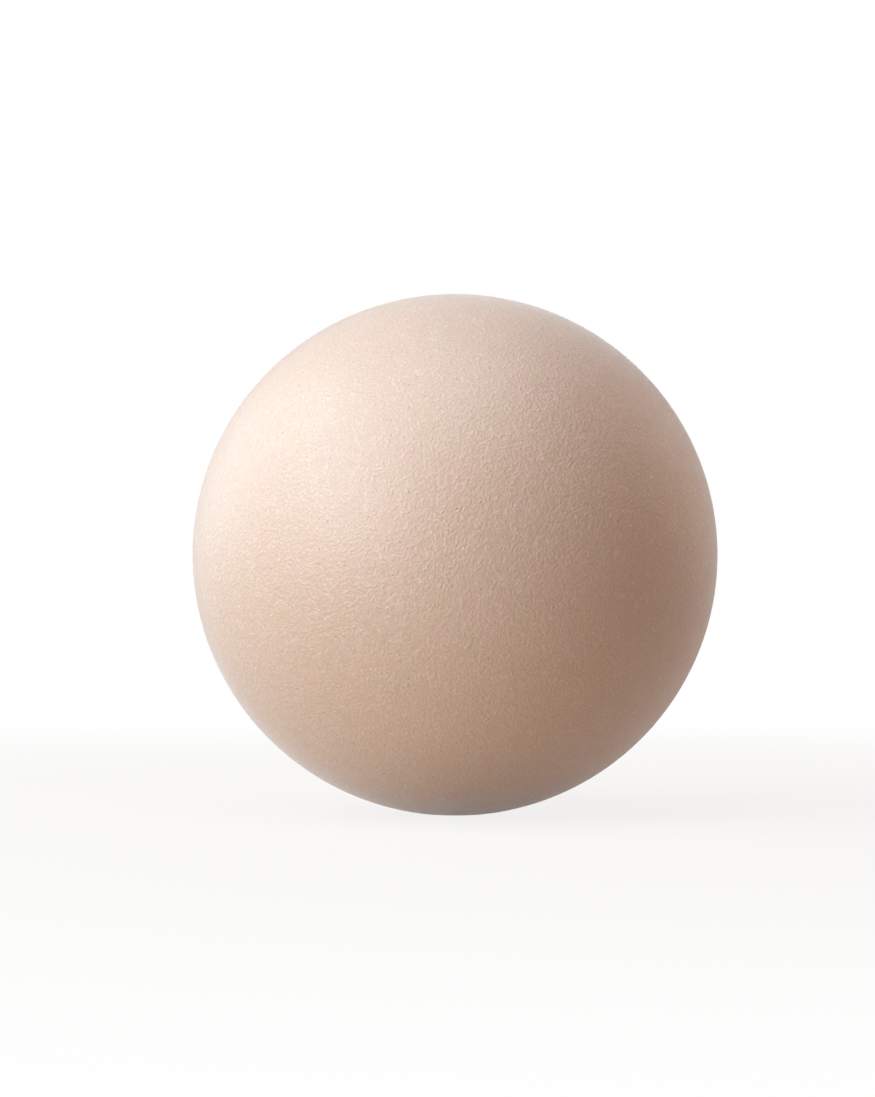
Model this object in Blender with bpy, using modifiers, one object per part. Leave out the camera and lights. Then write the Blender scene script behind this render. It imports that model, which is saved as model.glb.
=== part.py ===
"""Soft inflatable exercise ball, standing on the floor.

A thin moulded skin holds the air. A valve seat is bonded into a round hole at the back of the
skin, and a ribbed plug is pushed into the seat's bore and pulls out along the valve's axis.

Frame: +Z up, the origin on the floor under the ball's centre. The plain front of the ball
faces -Y, and the valve's axis runs along +Y at the ball's widest level. Sizes are in metres.
"""

import math

import bmesh
import bpy

# Ball
BALL_WIDTH = 0.230  # across the inflated ball, a nominal nine-inch ball
BALL_SAG = 0.0021  # how much lower than wide the soft ball stands under its own weight
CONTACT_RADIUS = 0.0125  # the round patch that its weight presses flat on the floor
SKIN_WALL = 0.0008

# Clearances between separate pieces
BOND_GAP = 0.0003  # between the skin and the seat that is bonded into it
PLUG_GAP = 0.0003  # round the plug's ribs in the bore, and under its head

# Plug head
HEAD_RADIUS = 0.0057
HEAD_RIM_THICKNESS = 0.0011
HEAD_CROWN = 0.0005
HEAD_UNDERCUT_WIDTH = 0.0011  # bevel under the rim, where a fingernail lifts the head
HEAD_UNDERCUT_HEIGHT = 0.0004

# Plug stem
RIB_COUNT = 3
RIB_HEIGHT = 0.0004
RIB_PITCH = 0.0031
FIRST_RIB_DEPTH = 0.0026  # from the head's underside to the first rib
RIB_TO_TIP = 0.0012  # straight stretch between the last rib and the tip
TIP_LENGTH = 0.0018
TIP_TAPER = 0.0007  # how much narrower the stem is at its end

# Valve seat
HEAD_RECESS = 0.0005  # how far the head's crown lies below the ball's surface
NAIL_GAP = 0.0008  # round the head, on the floor of the dish
DISH_FLARE = 0.0018  # how much wider the dish is at its mouth
LAND_WIDTH = 0.0008  # flush rim between the dish and the edge of the hole in the skin
FLANGE_WIDTH = 0.0060  # the part that lies behind the skin
FLANGE_RIM_THICKNESS = 0.0008
DISH_FLOOR_THICKNESS = 0.0019
BORE_RADIUS = 0.0030
BORE_LEAD_IN = 0.0005
NECK_WALL = 0.0022
NECK_TIP_WALL = 0.0017
NECK_LENGTH = 0.0095

# Rounded edges
EDGE_ROUND = 0.0003
ROOT_ROUND = 0.0012

# Facets
SKIN_STEPS = 64
SKIN_HALF_RINGS = 16
VALVE_STEPS = 40
ROUND_FACETS = 3
FLANGE_FACETS = 4
CROWN_FACETS = 4

# Looks: linear colour, roughness
SKIN_LOOK = ((0.60, 0.42, 0.33), 0.55)
SEAT_LOOK = ((0.62, 0.45, 0.36), 0.45)
PLUG_LOOK = ((0.80, 0.75, 0.68), 0.35)

# The standing ball, worked out from its sizes
BALL_RADIUS = BALL_WIDTH / 2
BALL_HEIGHT = BALL_WIDTH - BALL_SAG
FLAT_SHARE = math.sqrt(1 - (CONTACT_RADIUS / BALL_RADIUS) ** 2)
SEMI_HEIGHT = BALL_HEIGHT / (1 + FLAT_SHARE)
CENTRE_HEIGHT = SEMI_HEIGHT * FLAT_SHARE

# How far the middle of a facet of the skin lies inside the true curve
FACET_DIP = 2 * BALL_RADIUS * (1 - math.cos(math.pi / SKIN_STEPS))

# The tighter of the ball's two curves round the valve
VALVE_CURVE = min(BALL_RADIUS, SEMI_HEIGHT**2 / BALL_RADIUS)

# The valve, worked out from the plug outwards
STEM_RADIUS = BORE_RADIUS - PLUG_GAP - RIB_HEIGHT
DISH_DEPTH = HEAD_RECESS + HEAD_CROWN + HEAD_RIM_THICKNESS + PLUG_GAP
DISH_FLOOR_RADIUS = HEAD_RADIUS + NAIL_GAP
DISH_RADIUS = DISH_FLOOR_RADIUS + DISH_FLARE
BOSS_RADIUS = DISH_RADIUS + LAND_WIDTH
FLANGE_RADIUS = BOSS_RADIUS + FLANGE_WIDTH
SKIN_HOLE_RADIUS = BOSS_RADIUS + BOND_GAP
FLANGE_INSIDE = SKIN_WALL + FACET_DIP + BOND_GAP


def clear_scene():
    for obj in list(bpy.data.objects):
        bpy.data.objects.remove(obj)


def new_collection(name, hidden=False):
    collection = bpy.data.collections.new(name)
    collection.hide_render = hidden
    bpy.context.scene.collection.children.link(collection)
    return collection


def new_material(name, look):
    colour, roughness = look
    material = bpy.data.materials.new(name)
    material.use_nodes = True
    shader = material.node_tree.nodes["Principled BSDF"]
    shader.inputs["Base Color"].default_value = (*colour, 1.0)
    shader.inputs["Roughness"].default_value = roughness
    shader.inputs["Metallic"].default_value = 0.0
    return material


# Outlines: (radius, height) points that run down the outer side of a turned shape


def unit(x, z):
    length = math.hypot(x, z)
    return x / length, z / length, length


def corner_arc(before, corner, after):
    """The points of a round at a corner, which takes at most part of the edges beside it."""
    x, z, size = corner
    back_x, back_z, back_length = unit(before[0] - x, before[1] - z)
    on_x, on_z, on_length = unit(after[0] - x, after[1] - z)
    half_angle = math.acos(back_x * on_x + back_z * on_z) / 2
    reach = min(size / math.tan(half_angle), 0.45 * back_length, 0.45 * on_length)
    radius = reach * math.tan(half_angle)
    middle_x, middle_z, _ = unit(back_x + on_x, back_z + on_z)
    centre_x = x + middle_x * radius / math.sin(half_angle)
    centre_z = z + middle_z * radius / math.sin(half_angle)
    first = math.atan2(z + back_z * reach - centre_z, x + back_x * reach - centre_x)
    last = math.atan2(z + on_z * reach - centre_z, x + on_x * reach - centre_x)
    sweep = (last - first + math.pi) % (2 * math.pi) - math.pi
    points = []
    for step in range(ROUND_FACETS + 1):
        angle = first + sweep * step / ROUND_FACETS
        points.append((centre_x + radius * math.cos(angle), centre_z + radius * math.sin(angle)))
    return points


def rounded(corners):
    """Turns (radius, height, round) corners into points, with an arc at each that has a round."""
    points = []
    for index, corner in enumerate(corners):
        if corner[2] == 0.0:
            points.append(corner[:2])
        else:
            before = corners[index - 1]
            after = corners[(index + 1) % len(corners)]
            points += corner_arc(before, corner, after)
    return points


def ball_outline():
    """The standing ball's outer side, from its top to the middle of the flat patch on the floor."""
    upper = [math.pi / 2 * ring / SKIN_HALF_RINGS for ring in range(SKIN_HALF_RINGS)]
    lower_turn = math.pi / 2 - math.asin(CONTACT_RADIUS / BALL_RADIUS)
    lower = [
        math.pi / 2 + lower_turn * ring / SKIN_HALF_RINGS for ring in range(SKIN_HALF_RINGS + 1)
    ]
    points = []
    for angle in upper + lower:
        points.append(
            (BALL_RADIUS * math.sin(angle), CENTRE_HEIGHT + SEMI_HEIGHT * math.cos(angle))
        )
    points.append((0.0, 0.0))
    return points


def surface_drop(radius, inside=0.0):
    """How far the ball's surface, or a surface that lies inside it, is below the valve's top."""
    return VALVE_CURVE - math.sqrt((VALVE_CURVE - inside) ** 2 - radius**2)


def seat_outline():
    """The valve seat: a dished boss, a flange that follows the skin's inside, and a neck."""
    dish_floor = -DISH_DEPTH
    underside = dish_floor - DISH_FLOOR_THICKNESS
    neck_end = underside - NECK_LENGTH
    neck_radius = BORE_RADIUS + NECK_WALL
    flange_under = -surface_drop(FLANGE_RADIUS, FLANGE_INSIDE) - FLANGE_RIM_THICKNESS
    corners = [(BOSS_RADIUS, -surface_drop(BOSS_RADIUS), EDGE_ROUND)]
    for step in range(FLANGE_FACETS + 1):
        radius = BOSS_RADIUS + FLANGE_WIDTH * step / FLANGE_FACETS
        corners.append((radius, -surface_drop(radius, FLANGE_INSIDE), 0.0))
    corners += [
        (FLANGE_RADIUS, flange_under, EDGE_ROUND),
        (neck_radius, underside, ROOT_ROUND),
        (BORE_RADIUS + NECK_TIP_WALL, neck_end, EDGE_ROUND),
        (BORE_RADIUS, neck_end, EDGE_ROUND),
        (BORE_RADIUS, dish_floor - BORE_LEAD_IN, 0.0),
        (BORE_RADIUS + BORE_LEAD_IN, dish_floor, 0.0),
        (DISH_FLOOR_RADIUS, dish_floor, EDGE_ROUND),
        (DISH_RADIUS, -surface_drop(DISH_RADIUS), EDGE_ROUND),
    ]
    return rounded(corners)


def plug_outline():
    """The plug: a crowned head that is undercut at its rim, a ribbed stem and a tapered tip."""
    head_under = -DISH_DEPTH + PLUG_GAP
    head_edge = head_under + HEAD_RIM_THICKNESS
    corners = []
    for step in range(CROWN_FACETS):
        share = step / CROWN_FACETS
        corners.append((HEAD_RADIUS * share, head_edge + HEAD_CROWN * (1 - share**2), 0.0))
    corners += [
        (HEAD_RADIUS, head_edge, EDGE_ROUND),
        (HEAD_RADIUS, head_under + HEAD_UNDERCUT_HEIGHT, EDGE_ROUND),
        (HEAD_RADIUS - HEAD_UNDERCUT_WIDTH, head_under, 0.0),
        (STEM_RADIUS, head_under, EDGE_ROUND),
    ]
    rib_radius = STEM_RADIUS + RIB_HEIGHT
    rib_end = head_under
    for rib in range(RIB_COUNT):
        rib_top = head_under - FIRST_RIB_DEPTH - rib * RIB_PITCH
        rib_end = rib_top - 4 * RIB_HEIGHT
        corners += [
            (STEM_RADIUS, rib_top, 0.0),
            (rib_radius, rib_top - RIB_HEIGHT, 0.0),
            (rib_radius, rib_top - 2 * RIB_HEIGHT, 0.0),
            (STEM_RADIUS, rib_end, 0.0),
        ]
    tip_root = rib_end - RIB_TO_TIP
    tip_end = tip_root - TIP_LENGTH
    corners += [
        (STEM_RADIUS, tip_root, EDGE_ROUND),
        (STEM_RADIUS - TIP_TAPER, tip_end, EDGE_ROUND),
        (0.0, tip_end, 0.0),
    ]
    return rounded(corners)


# Solids


def turned(name, outline, steps, material, collection, closed=False):
    """A solid turned from an outline about its local Z axis."""
    edges = [(index, index + 1) for index in range(len(outline) - 1)]
    if closed:
        edges.append((len(outline) - 1, 0))
    mesh = bpy.data.meshes.new(name)
    mesh.from_pydata([(x, 0.0, z) for x, z in outline], edges, [])
    mesh.materials.append(material)
    obj = bpy.data.objects.new(name, mesh)
    collection.objects.link(obj)
    screw = obj.modifiers.new("turn", "SCREW")
    screw.axis = "Z"
    screw.angle = 2 * math.pi
    screw.steps = steps
    screw.render_steps = steps
    screw.use_merge_vertices = True
    screw.merge_threshold = 0.00001
    screw.use_smooth_shade = True
    return obj


def valve_axis(collection):
    """An empty on the ball's surface, with its Z axis along the valve and out of the ball."""
    axis = bpy.data.objects.new("valve_axis", None)
    axis.location = (0.0, BALL_RADIUS, CENTRE_HEIGHT)
    axis.rotation_euler = (-math.pi / 2, 0.0, 0.0)
    axis.empty_display_size = BOSS_RADIUS
    collection.objects.link(axis)
    return axis


def skin_hole(axis, collection):
    """The cutter for the round hole that the valve seat fills."""
    reach = 4 * (SKIN_WALL + surface_drop(SKIN_HOLE_RADIUS))
    shape = bmesh.new()
    bmesh.ops.create_cone(
        shape,
        cap_ends=True,
        segments=VALVE_STEPS,
        radius1=SKIN_HOLE_RADIUS,
        radius2=SKIN_HOLE_RADIUS,
        depth=2 * reach,
    )
    mesh = bpy.data.meshes.new("skin_hole")
    shape.to_mesh(mesh)
    shape.free()
    cutter = bpy.data.objects.new("skin_hole", mesh)
    cutter.parent = axis
    cutter.hide_render = True
    cutter.display_type = "WIRE"
    collection.objects.link(cutter)
    return cutter


def ball_skin(cutter, collection):
    look = new_material("skin", SKIN_LOOK)
    skin = turned("ball_skin", ball_outline(), SKIN_STEPS, look, collection)
    wall = skin.modifiers.new("wall", "SOLIDIFY")
    wall.thickness = SKIN_WALL
    wall.offset = -1.0
    wall.use_even_offset = True
    hole = skin.modifiers.new("valve_hole", "BOOLEAN")
    hole.operation = "DIFFERENCE"
    hole.solver = "EXACT"
    hole.object = cutter


def valve_seat(axis, collection):
    look = new_material("seat", SEAT_LOOK)
    seat = turned("valve_seat", seat_outline(), VALVE_STEPS, look, collection, closed=True)
    seat.parent = axis


def valve_plug(axis, collection):
    look = new_material("plug", PLUG_LOOK)
    plug = turned("valve_plug", plug_outline(), VALVE_STEPS, look, collection)
    plug.parent = axis


def build():
    clear_scene()
    ball = new_collection("pilates_ball")
    cutters = new_collection("cutters", hidden=True)
    axis = valve_axis(ball)
    ball_skin(skin_hole(axis, cutters), ball)
    valve_seat(axis, ball)
    valve_plug(axis, ball)


build()
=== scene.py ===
"""Looks of a soft inflatable exercise ball: its grained skin, its valve, the studio and the camera."""

import math

import bpy
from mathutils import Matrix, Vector, noise


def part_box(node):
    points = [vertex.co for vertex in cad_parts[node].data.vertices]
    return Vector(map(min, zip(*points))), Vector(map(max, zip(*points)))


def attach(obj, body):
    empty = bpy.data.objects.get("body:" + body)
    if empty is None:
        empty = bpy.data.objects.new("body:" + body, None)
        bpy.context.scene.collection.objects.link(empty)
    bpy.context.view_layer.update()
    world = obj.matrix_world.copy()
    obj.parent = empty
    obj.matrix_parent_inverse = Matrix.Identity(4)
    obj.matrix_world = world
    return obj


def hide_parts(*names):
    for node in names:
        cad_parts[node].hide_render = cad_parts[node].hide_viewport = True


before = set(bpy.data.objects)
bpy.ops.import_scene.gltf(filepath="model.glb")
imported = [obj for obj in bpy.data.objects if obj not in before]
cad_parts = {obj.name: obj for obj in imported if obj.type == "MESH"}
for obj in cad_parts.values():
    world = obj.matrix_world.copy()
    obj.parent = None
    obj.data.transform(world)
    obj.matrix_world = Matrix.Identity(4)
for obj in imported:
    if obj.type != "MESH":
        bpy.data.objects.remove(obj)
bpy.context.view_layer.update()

# The photograph's frame, and where the ball lies in it, in pixels
PHOTO_WIDTH = 875
PHOTO_HEIGHT = 1097
BALL_CENTRE_PX = (455.0, 554.1)
BALL_WIDTH_PX = 525.6
CAMERA_DISTANCE = 1.6  # from the ball's centre
SENSOR = 36.0  # mm, along the frame's long side

# The ball, from the frame
skin_low, skin_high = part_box("ball_skin")
seat_low, seat_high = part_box("valve_seat")
BALL_RADIUS = skin_high.x
VALVE_HEIGHT = (seat_low.z + seat_high.z) / 2
CENTRE = Vector((0.0, 0.0, VALVE_HEIGHT))
SEMI_HEIGHT = skin_high.z - VALVE_HEIGHT

# Skin
SKIN_WALL = 0.0008
HOLE_RADIUS = 0.0094
LIP_ROUND = 0.00025
SEAM_HEIGHT = 0.00010  # the parting line of the two mould halves, round the silhouette
SEAM_WIDTH = 0.00035
PAD_RADIUS = 0.0190  # smooth round field about the valve, inside a fine witness groove
PAD_FADE = 0.0012
GROOVE_DEPTH = 0.00025
GROOVE_WIDTH = 0.00045
UNEVENNESS = 0.00005
UNEVEN_SCALE = 22.0  # per metre
FLOOR_BLEND = 0.00015
SKIN_STEPS = 256
OUTER_RINGS = 150
FINE_RING = 0.00012  # from ring to ring across the groove and the parting line
FINE_RINGS = 8  # of these to either side of each
INNER_ANGLES = range(180, 9, -6)  # degrees from the valve's axis, on the inner side
LIP_RINGS = 4

# Valve seat and plug: heights are along the valve's axis, 0 at the ball's surface
VALVE_STEPS = 128
ROUND_STEPS = 8
ROUND_REACH = 0.45  # the most of an edge's length that the round at its end takes
EDGE_ROUND = 0.0003
SEAT_SIDE_GAP = 0.00005  # between the bonded seat and the lip of the skin
LAND_ROUND = 0.00022
FLANGE_RADIUS = 0.0151
FLANGE_DEPTH = 0.0014  # of its face behind the ball's surface
FLANGE_THICKNESS = 0.0008
FLANGE_STEPS = 8
NECK_TOP = (0.0052, -0.0043)
NECK_END = (0.0047, -0.0138)
BORE_RADIUS = 0.0030
BORE_MOUTH = (0.0034, -0.0029)  # the radius at the dish, and the height where it narrows
DISH_HEIGHT = -0.0024
DISH_RADII = (0.0065, 0.0083)  # of its floor and of its rim
DISH_ROUND = 0.0004

HEAD_RADIUS = 0.0057
HEAD_HEIGHTS = (-0.0010, -0.0017, -0.0021)  # of its rim's top and bottom, and of the undercut
HEAD_UNDERCUT_RADIUS = 0.0046
CROWN_HEIGHT = 0.0005
CROWN_STEPS = 8
STEM_RADIUS = 0.0023
RIB_COUNT = 3
RIB_RADIUS = 0.0027
RIB_TOP = -0.0047
RIB_PITCH = 0.0031
RIB_SLOPES = (0.0004, 0.0008, 0.0016)  # down a rib, to its crest's start and end and its foot
RIB_ROUND = 0.0002
TIP_HEIGHTS = (-0.0137, -0.0150)
TIP_RADIUS = 0.0016

# Grain of the skin: scales are per metre, heights are shares of GRAIN_DEPTH, an EDGE is the pair
# of values between which a form fades, and each form's colour share sets how much painted shade it
# takes (valleys and pits) or painted highlight (specks, wrinkles and the fine grain's tops)
GRAIN_DEPTH = 0.00025
WARP_SCALE = 320.0
WARP_REACH = 0.0011
PEBBLE_SCALE = 660.0
PEBBLE_SMOOTHNESS = 0.5
PEBBLE_EDGE = (0.1, 0.75)
PEBBLE_HEIGHT = 0.42
VALLEY_SHADE = 0.08
WRINKLE_SCALE = 280.0
WRINKLE_WIDTH = 0.06
WRINKLE_HEIGHT = 0.28
WRINKLE_HIGHLIGHT = 0.12
WRINKLE_PATCH_SCALE = 240.0
WRINKLE_PATCH_EDGE = (0.48, 0.60)
SPOT_SCALE = 300.0
SPOT_EDGE = (0.07, 0.17)
SPECK_OVER = 0.65  # a spot is a speck where its random value is over this
SPECK_HEIGHT = 0.5
SPECK_HIGHLIGHT = 0.38
PIT_UNDER = 0.33  # and a pit where it is under this
PIT_HEIGHT = -0.4
PIT_SHADE = 0.38
FINE_SCALE = 1250.0
FINE_HEIGHT = 0.75
FINE_EDGE = (0.45, 0.72)
FINE_HIGHLIGHT = 0.19
HUE_SCALE = 85.0
HUE_EDGE = (0.35, 0.65)
GLOSS_SCALE = 140.0
GLOSS_EDGE = (0.3, 0.7)
ROUGHNESS = (0.43, 0.49)
PAD_GLOSS = 0.10  # how much less rough the smooth pad is
PINKISH = (0.602, 0.404, 0.310, 1.0)
TAN = (0.588, 0.407, 0.299, 1.0)
# painted shade: the colour that darkens the grain's valleys and pits
PAINTED_SHADE_COLOUR = (0.30, 0.17, 0.11, 1.0)
# painted highlight: the colour that lightens the grain's specks, wrinkle ridges and fine tops
PAINTED_HIGHLIGHT_COLOUR = (0.90, 0.76, 0.66, 1.0)


def link_object(name, mesh):
    obj = bpy.data.objects.new(name, mesh)
    bpy.context.scene.collection.objects.link(obj)
    return obj


# Skin


def revolve_faces(rings, steps, closed=False):
    """Quads between neighbouring rings of vertices; a ring of one vertex is a pole."""
    faces = []
    pairs = list(zip(rings, rings[1:]))
    if closed:
        pairs.append((rings[-1], rings[0]))
    for first, second in pairs:
        for step in range(steps):
            nxt = (step + 1) % steps
            if len(first) == 1:
                faces.append((first[0], second[step], second[nxt]))
            elif len(second) == 1:
                faces.append((first[step], second[0], first[nxt]))
            else:
                faces.append((first[step], second[step], second[nxt], first[nxt]))
    return faces


def ridge(distance, width):
    """A smooth ridge, 1 at distance 0 and fading to 0 past its width."""
    return math.exp(-((distance / width) ** 2))


def skin_profile():
    """(angle from the valve's axis, offset from the true ball, outer) down the whole section."""
    hole_angle = math.asin(HOLE_RADIUS / BALL_RADIUS)
    lip = LIP_ROUND / BALL_RADIUS
    points = [(math.radians(angle), -SKIN_WALL, False) for angle in INNER_ANGLES]
    points.append((hole_angle + lip, -SKIN_WALL, False))
    points.append((hole_angle, -SKIN_WALL + LIP_ROUND, False))
    for step in range(LIP_RINGS + 1):
        turn = math.pi / 2 * step / LIP_RINGS
        angle = hole_angle + lip * (1 - math.cos(turn))
        points.append((angle, -LIP_ROUND * (1 - math.sin(turn)), False))
    start = hole_angle + 2 * lip
    sweep = math.pi - start
    angles = {start + sweep * step / OUTER_RINGS for step in range(OUTER_RINGS + 1)}
    fine = FINE_RING / BALL_RADIUS
    pad_angle = math.asin(PAD_RADIUS / BALL_RADIUS)
    for middle in (pad_angle, math.pi / 2):
        angles.update(middle + step * fine for step in range(-FINE_RINGS, FINE_RINGS + 1))
    for angle in sorted(angles):
        seam = SEAM_HEIGHT * ridge((angle - math.pi / 2) * BALL_RADIUS, SEAM_WIDTH)
        groove = GROOVE_DEPTH * ridge((angle - pad_angle) * BALL_RADIUS, GROOVE_WIDTH)
        points.append((angle, seam - groove - SEAM_HEIGHT, True))
    return points


def skin_point(angle, around, offset, outer):
    """A point of the standing ball, pressed flat where it meets the floor."""
    direction = Vector(
        (math.sin(angle) * math.cos(around), math.cos(angle), math.sin(angle) * math.sin(around))
    )
    if outer:
        wave = noise.noise(direction * BALL_RADIUS * UNEVEN_SCALE)
        offset -= UNEVENNESS * (0.5 + 0.5 * wave)
    point = direction * (BALL_RADIUS + offset)
    floor = 0.0 if outer else SKIN_WALL
    above = (VALVE_HEIGHT + point.z * SEMI_HEIGHT / BALL_RADIUS - floor) / FLOOR_BLEND
    # a soft maximum with the floor, which far above it is the height itself
    if above < 20:
        above = math.log1p(math.exp(above))
    return (point.x, point.y, floor + above * FLOOR_BLEND)


def make_skin():
    verts = []
    rings = []
    for angle, offset, outer in skin_profile():
        if math.sin(angle) < 1e-6:
            rings.append([len(verts)])
            verts.append(skin_point(angle, 0.0, offset, outer))
        else:
            rings.append(list(range(len(verts), len(verts) + SKIN_STEPS)))
            for step in range(SKIN_STEPS):
                around = 2 * math.pi * step / SKIN_STEPS
                verts.append(skin_point(angle, around, offset, outer))
    mesh = bpy.data.meshes.new("skin_shell")
    mesh.from_pydata(verts, [], revolve_faces(rings, SKIN_STEPS))
    mesh.validate()
    mesh.shade_smooth()
    return link_object("skin_shell", mesh)


# Valve: outlines are (radius, height, round) corners that run down the outer side


def corner_arc(before, corner, after):
    """The points of a round at a corner, which takes at most part of the edges beside it."""
    point = Vector(corner[:2])
    back = Vector(before[:2]) - point
    on = Vector(after[:2]) - point
    half_angle = back.angle(on) / 2
    wanted = corner[2] / math.tan(half_angle)
    reach = min(wanted, ROUND_REACH * back.length, ROUND_REACH * on.length)
    radius = reach * math.tan(half_angle)
    centre = point + (back.normalized() + on.normalized()).normalized() * (
        radius / math.sin(half_angle)
    )
    first = point + back.normalized() * reach - centre
    last = point + on.normalized() * reach - centre
    start = math.atan2(first.y, first.x)
    sweep = (math.atan2(last.y, last.x) - start + math.pi) % (2 * math.pi) - math.pi
    points = []
    for step in range(ROUND_STEPS + 1):
        angle = start + sweep * step / ROUND_STEPS
        points.append((centre.x + radius * math.cos(angle), centre.y + radius * math.sin(angle)))
    return points


def rounded(corners):
    points = []
    for index, corner in enumerate(corners):
        if corner[2] == 0.0:
            points.append(corner[:2])
        else:
            before = corners[index - 1]
            after = corners[(index + 1) % len(corners)]
            points += corner_arc(before, corner, after)
    return points


def drop(radius, inside=0.0):
    """How far the ball's surface, or a surface inside it, lies below its top at the valve."""
    curve = SEMI_HEIGHT**2 / BALL_RADIUS
    return curve - math.sqrt((curve - inside) ** 2 - radius**2)


def turned(name, outline, closed=False):
    """A solid turned about the valve's axis, which runs along +Y."""
    verts = []
    rings = []
    for radius, height in outline:
        if radius < 1e-6:
            rings.append([len(verts)])
            verts.append((0.0, BALL_RADIUS + height, VALVE_HEIGHT))
        else:
            rings.append(list(range(len(verts), len(verts) + VALVE_STEPS)))
            for step in range(VALVE_STEPS):
                around = 2 * math.pi * step / VALVE_STEPS
                x = radius * math.cos(around)
                z = VALVE_HEIGHT + radius * math.sin(around)
                verts.append((x, BALL_RADIUS + height, z))
    mesh = bpy.data.meshes.new(name)
    mesh.from_pydata(verts, [], revolve_faces(rings, VALVE_STEPS, closed))
    mesh.validate()
    mesh.shade_smooth()
    return link_object(name, mesh)


def seat_outline():
    """A flush land with a dish for the plug's head, a flange behind the skin, and a neck."""
    land = HOLE_RADIUS - SEAT_SIDE_GAP
    corners = [(land, -drop(land), LAND_ROUND)]
    for step in range(FLANGE_STEPS + 1):
        radius = land + (FLANGE_RADIUS - land) * step / FLANGE_STEPS
        corners.append((radius, -drop(radius, FLANGE_DEPTH), 0.0))
    flange_back = -drop(FLANGE_RADIUS, FLANGE_DEPTH) - FLANGE_THICKNESS
    mouth_radius, bore_top = BORE_MOUTH
    dish_floor, dish_rim = DISH_RADII
    corners += [
        (FLANGE_RADIUS, flange_back, EDGE_ROUND),
        (*NECK_TOP, 4 * EDGE_ROUND),
        (*NECK_END, EDGE_ROUND),
        (BORE_RADIUS, NECK_END[1], EDGE_ROUND),
        (BORE_RADIUS, bore_top, EDGE_ROUND),
        (mouth_radius, DISH_HEIGHT, EDGE_ROUND),
        (dish_floor, DISH_HEIGHT, DISH_ROUND),
        (dish_rim, -drop(dish_rim), EDGE_ROUND),
    ]
    return rounded(corners)


def plug_outline():
    """A crowned head that is undercut at its rim, a ribbed stem and a tapered tip."""
    top, bottom, undercut = HEAD_HEIGHTS
    corners = []
    for step in range(CROWN_STEPS):
        share = step / CROWN_STEPS
        corners.append((HEAD_RADIUS * share, top + CROWN_HEIGHT * (1 - share**2), 0.0))
    corners += [
        (HEAD_RADIUS, top, EDGE_ROUND),
        (HEAD_RADIUS, bottom, EDGE_ROUND),
        (HEAD_UNDERCUT_RADIUS, undercut, EDGE_ROUND / 3),
        (STEM_RADIUS, undercut, EDGE_ROUND),
    ]
    for rib in range(RIB_COUNT):
        rib_top = RIB_TOP - rib * RIB_PITCH
        crest, crest_end, foot = (rib_top - slope for slope in RIB_SLOPES)
        corners += [
            (STEM_RADIUS, rib_top, RIB_ROUND),
            (RIB_RADIUS, crest, EDGE_ROUND / 2),
            (RIB_RADIUS, crest_end, EDGE_ROUND / 2),
            (STEM_RADIUS, foot, RIB_ROUND),
        ]
    taper, end = TIP_HEIGHTS
    corners += [
        (STEM_RADIUS, taper, EDGE_ROUND),
        (TIP_RADIUS, end, EDGE_ROUND),
        (0.0, end, 0.0),
    ]
    return rounded(corners)


# Materials


class Nodes:
    """Short calls for a material's node tree. A plain number goes on a socket, else a link."""

    def __init__(self, owner):
        self.owner = owner
        self.owner.use_nodes = True
        self.tree = self.owner.node_tree
        self.tree.nodes.clear()

    def add(self, kind, inputs=None, **settings):
        node = self.tree.nodes.new(kind)
        for name, value in settings.items():
            setattr(node, name, value)
        for key, value in (inputs or {}).items():
            self.put(node.inputs[key], value)
        return node

    def put(self, socket, value):
        if isinstance(value, bpy.types.NodeSocket):
            self.tree.links.new(value, socket)
        else:
            socket.default_value = value

    def math(self, operation, first, second=0.0, third=0.0):
        node = self.add("ShaderNodeMath", {0: first, 1: second, 2: third}, operation=operation)
        return node.outputs[0]

    def noise(self, vector, scale, detail=0.0, output="Fac"):
        node = self.add(
            "ShaderNodeTexNoise", {"Vector": vector, "Scale": scale, "Detail": detail}
        )
        return node.outputs[output]

    def cells(self, vector, scale, **settings):
        return self.add("ShaderNodeTexVoronoi", {"Vector": vector, "Scale": scale}, **settings)

    def between(self, value, low, high, first=0.0, last=1.0):
        """Goes smoothly from first to last as the value goes from low to high."""
        node = self.add(
            "ShaderNodeMapRange",
            {0: value, 1: low, 2: high, 3: first, 4: last},
            interpolation_type="SMOOTHSTEP",
        )
        return node.outputs[0]

    def mix(self, share, first, second):
        """Mixes two colours."""
        node = self.add("ShaderNodeMix", {0: share, 6: first, 7: second}, data_type="RGBA")
        return node.outputs[2]

    def bump(self, height, depth):
        node = self.add("ShaderNodeBump", {"Strength": 1.0, "Distance": depth, "Height": height})
        return node.outputs[0]

    def finish(self, shader):
        self.add("ShaderNodeOutputMaterial", {0: shader})
        return self.owner


def valve_distance(n, coord):
    """Distance from the valve's axis at the back of the ball, and large on its front half."""
    parts = n.add("ShaderNodeSeparateXYZ", {0: coord}).outputs
    up = n.math("SUBTRACT", parts[2], VALVE_HEIGHT)
    squares = n.math("MULTIPLY_ADD", up, up, n.math("MULTIPLY", parts[0], parts[0]))
    across = n.math("SQRT", squares)
    front = n.math("LESS_THAN", parts[1], 0.0)
    return n.math("ADD", across, front)


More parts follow.
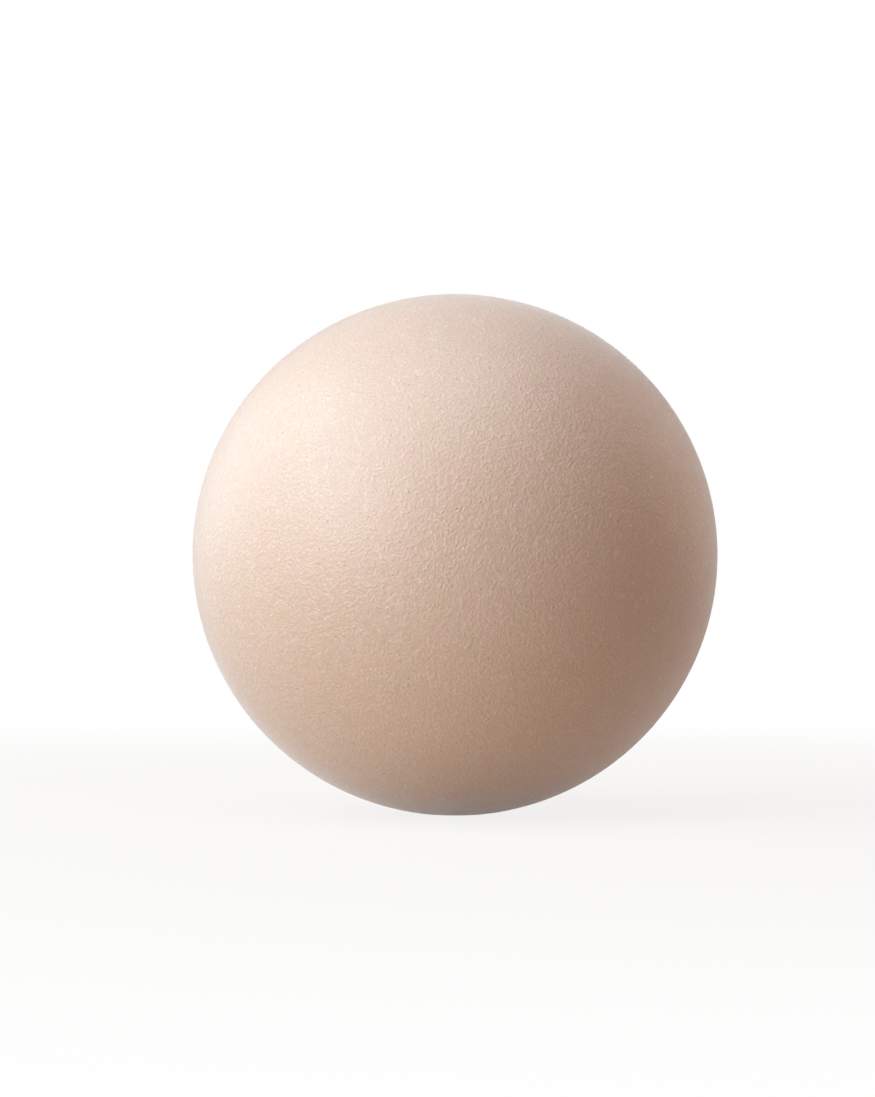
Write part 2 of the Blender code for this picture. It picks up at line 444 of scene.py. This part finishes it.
def skin_material():
    """Soft vinyl with a leather-like grain of pebbles, wrinkles, specks and pits, lightly coated, with
    painted shade in its valleys and pits and painted highlight on its raised marks.
    """
    n = Nodes(bpy.data.materials.new("skin_grain_and_painted_light"))
    coord = n.add("ShaderNodeTexCoord").outputs["Object"]
    warp = n.noise(coord, WARP_SCALE, 1.0, "Color")
    warped = n.add(
        "ShaderNodeVectorMath",
        {0: warp, 1: (WARP_REACH, WARP_REACH, WARP_REACH), 2: coord},
        operation="MULTIPLY_ADD",
    ).outputs[0]

    pebble = n.cells(warped, PEBBLE_SCALE, feature="SMOOTH_F1")
    n.put(pebble.inputs["Smoothness"], PEBBLE_SMOOTHNESS)
    dome = n.between(pebble.outputs["Distance"], *PEBBLE_EDGE, 1.0, 0.0)

    level = n.math("ABSOLUTE", n.math("SUBTRACT", n.noise(warped, WRINKLE_SCALE, 1.0), 0.5))
    crease = n.between(level, 0.0, WRINKLE_WIDTH, 1.0, 0.0)
    patches = n.between(n.noise(coord, WRINKLE_PATCH_SCALE), *WRINKLE_PATCH_EDGE)
    wrinkle = n.math("MULTIPLY", crease, patches)

    spot = n.cells(coord, SPOT_SCALE)
    chance = n.add("ShaderNodeSeparateXYZ", {0: spot.outputs["Color"]}).outputs
    near = n.between(spot.outputs["Distance"], *SPOT_EDGE, 1.0, 0.0)
    speck = n.math("MULTIPLY", near, n.math("GREATER_THAN", chance[0], SPECK_OVER))
    pit = n.math("MULTIPLY", near, n.math("LESS_THAN", chance[0], PIT_UNDER))

    fine = n.noise(coord, FINE_SCALE, 2.0)
    height = n.math("MULTIPLY_ADD", dome, PEBBLE_HEIGHT, n.math("MULTIPLY", fine, FINE_HEIGHT))
    for form, share in ((wrinkle, WRINKLE_HEIGHT), (speck, SPECK_HEIGHT), (pit, PIT_HEIGHT)):
        height = n.math("MULTIPLY_ADD", form, share, height)
    grained = n.between(valve_distance(n, coord), PAD_RADIUS - PAD_FADE, PAD_RADIUS)
    bump = n.bump(n.math("MULTIPLY", height, grained), GRAIN_DEPTH)

    colour = n.mix(n.between(n.noise(coord, HUE_SCALE, 2.0), *HUE_EDGE), PINKISH, TAN)
    # painted shade: darker in the valleys between the pebbles and in the pits
    valley_shade = n.math("MULTIPLY_ADD", dome, -VALLEY_SHADE, VALLEY_SHADE)
    painted_shade = n.math("MULTIPLY_ADD", pit, PIT_SHADE, valley_shade)
    colour = n.mix(n.math("MULTIPLY", painted_shade, grained), colour, PAINTED_SHADE_COLOUR)
    # painted highlight: lighter on the specks, the wrinkle ridges and the fine grain's tops
    painted_highlight = n.math("MULTIPLY_ADD", speck, SPECK_HIGHLIGHT, n.math("MULTIPLY", wrinkle, WRINKLE_HIGHLIGHT))
    painted_highlight = n.math("ADD", painted_highlight, n.between(fine, *FINE_EDGE, 0.0, FINE_HIGHLIGHT))
    colour = n.mix(n.math("MULTIPLY", painted_highlight, grained), colour, PAINTED_HIGHLIGHT_COLOUR)
    rough = n.between(n.noise(coord, GLOSS_SCALE, 2.0), *GLOSS_EDGE, *ROUGHNESS)
    rough = n.math("SUBTRACT", rough, n.between(grained, 0.0, 1.0, PAD_GLOSS, 0.0))

    shader = n.add(
        "ShaderNodeBsdfPrincipled",
        {
            "Base Color": colour,
            "Roughness": rough,
            "IOR": 1.5,
            "Specular IOR Level": 0.42,
            "Coat Weight": 0.25,
            "Coat Roughness": 0.42,
            "Sheen Weight": 0.4,
            "Sheen Roughness": 0.3,
            "Normal": bump,
        },
    )
    return n.finish(shader.outputs[0])


def seat_material():
    """The same vinyl, moulded smooth, with a faint bloom."""
    n = Nodes(bpy.data.materials.new("seat_vinyl"))
    coord = n.add("ShaderNodeTexCoord").outputs["Object"]
    bloom = n.between(n.noise(coord, 260.0, 3.0), 0.35, 0.7)
    colour = n.mix(bloom, (0.58, 0.40, 0.30, 1.0), (0.64, 0.46, 0.365, 1.0))
    bump = n.bump(n.noise(coord, 2200.0, 2.0), 0.000012)
    rough = n.between(bloom, 0.0, 1.0, 0.40, 0.50)
    shader = n.add(
        "ShaderNodeBsdfPrincipled",
        {
            "Base Color": colour,
            "Roughness": rough,
            "IOR": 1.5,
            "Specular IOR Level": 0.7,
            "Normal": bump,
        },
    )
    return n.finish(shader.outputs[0])


def plug_material():
    """Milky off-white plastic with faint flow marks from its moulding."""
    n = Nodes(bpy.data.materials.new("plug_plastic"))
    coord = n.add("ShaderNodeTexCoord").outputs["Object"]
    stretched = n.add(
        "ShaderNodeVectorMath", {0: coord, 1: (1.0, 0.25, 1.0)}, operation="MULTIPLY"
    ).outputs[0]
    flow = n.between(n.noise(stretched, 420.0, 2.0), 0.3, 0.7)
    colour = n.mix(flow, (0.78, 0.72, 0.65, 1.0), (0.83, 0.78, 0.71, 1.0))
    bump = n.bump(n.noise(coord, 2600.0, 2.0), 0.000008)
    rough = n.between(flow, 0.0, 1.0, 0.32, 0.40)
    shader = n.add(
        "ShaderNodeBsdfPrincipled",
        {
            "Base Color": colour,
            "Roughness": rough,
            "IOR": 1.5,
            "Subsurface Weight": 0.15,
            "Subsurface Scale": 0.001,
            "Normal": bump,
        },
    )
    return n.finish(shader.outputs[0])


# Studio

BACK_TONE = 0.84  # of white: the backdrop toward -Y, against which the ball's bright rim shows
BACK_FADE = 0.3  # the backdrop turns white over this share of the way to either side
BACK_FLOOR = (1.0, 4.0)  # the floor takes the backdrop's tone between these distances
FLOOR_HALF = 8.0
FLOOR_COLOUR = (0.6, 0.5, 0.4, 1.0)  # where the lamps light it and the shadow falls
FLOOR_WHITE = 0.85  # the share of plain white over that colour, by the ball
SHADOW_FADE = (0.2, 1.0)  # it is all white from the second of these distances
FLOOR_GLOSS = (-0.14, -0.03)  # the ball reflects the white floor only behind this band of y
WORLD_GLOSS = (-0.1, 0.35)  # and the white world only toward +Y
AMBIENT_COLOUR = (1.0, 0.41, 0.28, 1.0)
AMBIENT_STRENGTH = 0.175


def floor_material():
    """White to the camera, with the ball's shadow, and far off in the backdrop's tone."""
    n = Nodes(bpy.data.materials.new("studio_floor"))
    coord = n.add("ShaderNodeTexCoord").outputs["Object"]
    away = n.add("ShaderNodeVectorMath", {0: coord}, operation="LENGTH").outputs["Value"]
    depth = n.add("ShaderNodeSeparateXYZ", {0: coord}).outputs[1]
    rays = n.add("ShaderNodeLightPath").outputs
    behind = n.math("MULTIPLY", rays["Is Glossy Ray"], n.between(depth, *FLOOR_GLOSS))
    seen = n.math("MAXIMUM", rays["Is Camera Ray"], behind)
    share = n.math("MULTIPLY", seen, n.between(away, *SHADOW_FADE, FLOOR_WHITE, 1.0))
    toward = n.math("DIVIDE", depth, away)
    dim = n.between(toward, -BACK_FADE, BACK_FADE, BACK_TONE - 1.0, 0.0)
    tone = n.math("MULTIPLY_ADD", dim, n.between(away, *BACK_FLOOR), 1.0)
    diffuse = n.add("ShaderNodeBsdfDiffuse", {"Color": FLOOR_COLOUR})
    white = n.add("ShaderNodeEmission", {"Strength": tone})
    mix = n.add("ShaderNodeMixShader", {0: share, 1: diffuse.outputs[0], 2: white.outputs[0]})
    return n.finish(mix.outputs[0])


def make_floor():
    half = FLOOR_HALF
    corners = [(-half, -half, 0), (half, -half, 0), (half, half, 0), (-half, half, 0)]
    mesh = bpy.data.meshes.new("studio_floor")
    mesh.from_pydata(corners, [], [(0, 1, 2, 3)])
    mesh.materials.append(floor_material())
    link_object("studio_floor", mesh)


def make_world():
    """White behind the ball, pale grey before it, and a faint warm light all round."""
    world = bpy.data.worlds.new("studio")
    bpy.context.scene.world = world
    n = Nodes(world)
    rays = n.add("ShaderNodeLightPath").outputs
    toward = n.add("ShaderNodeTexCoord").outputs["Generated"]
    depth = n.add("ShaderNodeSeparateXYZ", {0: toward}).outputs[1]
    behind = n.math("MULTIPLY", rays["Is Glossy Ray"], n.between(depth, *WORLD_GLOSS))
    seen = n.math("MAXIMUM", rays["Is Camera Ray"], behind)
    ambient = n.add(
        "ShaderNodeBackground", {"Color": AMBIENT_COLOUR, "Strength": AMBIENT_STRENGTH}
    )
    tone = n.between(depth, -BACK_FADE, BACK_FADE, BACK_TONE, 1.0)
    white = n.add("ShaderNodeBackground", {"Color": (1.0, 1.0, 1.0, 1.0), "Strength": tone})
    mix = n.add("ShaderNodeMixShader", {0: seen, 1: ambient.outputs[0], 2: white.outputs[0]})
    n.add("ShaderNodeOutputWorld", {0: mix.outputs[0]})


# Soft boxes: direction from the ball's centre, distance, width, watts, colour
LAMPS = {
    "key": ((-0.7, -0.4, 0.6), 1.4, 1.2, 14.0, (0.585, 0.835, 1.0)),
    "core": ((-0.7, 0.05, 0.75), 1.3, 0.3, 3.6, (0.56, 0.83, 1.0)),
    "low_left": ((-0.8, -0.8, 0.2), 1.4, 1.2, 17.8, (0.85, 0.94, 1.0)),
    "top": ((0.0, -0.3, 1.0), 1.4, 1.1, 10.3, (0.8, 0.94, 1.0)),
    "left_rim": ((-0.9, 0.45, 0.3), 1.4, 0.9, 5.2, (0.56, 0.79, 1.0)),
    "right_rim": ((0.9, 0.5, 0.3), 1.4, 0.9, 2.3, (1.0, 0.76, 0.55)),
    "back": ((0.0, 1.0, 0.0), 1.4, 0.5, 9.5, (1.0, 1.0, 1.0)),
}


def make_lamp(name, direction, distance, size, power, colour):
    """A square soft box that faces the ball's centre from the given direction."""
    data = bpy.data.lights.new(name, "AREA")
    data.shape = "SQUARE"
    data.size = size
    data.energy = power
    data.color = colour
    lamp = bpy.data.objects.new(name, data)
    away = Vector(direction).normalized()
    lamp.location = CENTRE + away * distance
    lamp.rotation_mode = "QUATERNION"
    lamp.rotation_quaternion = away.to_track_quat("Z", "Y")
    bpy.context.scene.collection.objects.link(lamp)


def make_camera():
    data = bpy.data.cameras.new("camera")
    camera = bpy.data.objects.new("camera", data)
    bpy.context.scene.collection.objects.link(camera)
    bpy.context.scene.camera = camera
    # a ball's outline is the cone that touches it, so its lens is a little longer than for a disc
    tangent = BALL_RADIUS / math.sqrt(CAMERA_DISTANCE**2 - BALL_RADIUS**2)
    focal_px = BALL_WIDTH_PX / 2 / tangent
    data.sensor_width = SENSOR
    data.lens = focal_px / PHOTO_HEIGHT * SENSOR
    right = (BALL_CENTRE_PX[0] - PHOTO_WIDTH / 2) / focal_px * CAMERA_DISTANCE
    down = (BALL_CENTRE_PX[1] - PHOTO_HEIGHT / 2) / focal_px * CAMERA_DISTANCE
    middle = (skin_low.z + skin_high.z) / 2
    camera.location = (-right, -CAMERA_DISTANCE, middle + down)
    camera.rotation_euler = (math.pi / 2, 0.0, 0.0)


def dress(obj, material, body, node):
    """Gives a piece its material, puts it on its body, and lets it stand for a CAD node."""
    obj.data.materials.append(material)
    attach(obj, body)
    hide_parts(node)


dress(make_skin(), skin_material(), "ball", "ball_skin")
dress(turned("seat_moulding", seat_outline(), True), seat_material(), "ball", "valve_seat")
dress(turned("plug_moulding", plug_outline()), plug_material(), "plug", "valve_plug")

make_floor()
make_world()
for lamp_name, lamp in LAMPS.items():
    make_lamp(lamp_name, *lamp)
make_camera()
bpy.context.scene.view_settings.view_transform = "Standard"
